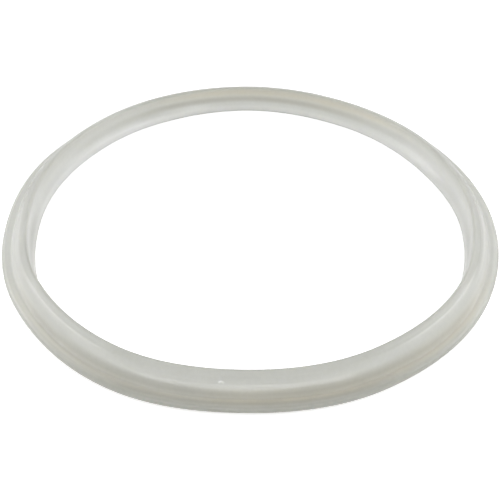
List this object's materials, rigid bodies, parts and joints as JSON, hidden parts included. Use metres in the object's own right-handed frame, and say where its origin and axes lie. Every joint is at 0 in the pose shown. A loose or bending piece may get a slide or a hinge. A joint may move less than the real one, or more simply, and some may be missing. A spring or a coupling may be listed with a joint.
{
  "type": "pressure cooker sealing ring",
  "caption": "Moulded translucent silicone sealing ring with a rounded outer rim, a raised ridge and a flared inner lip.",
  "frame": {"origin": "centre of the ring on the plane of its foot, where the rim and the lip rest", "axes": "+Z along the ring's own axis, up through the ridge; X and Y lie in the foot's plane and are interchangeable"},
  "size_m": [0.245, 0.245, 0.0141],
  "materials": {
    "silicone": "satin, milky translucent"
  },
  "bodies": {
    "root": {"sealing_ring": "silicone"}
  },
  "joints": []
}
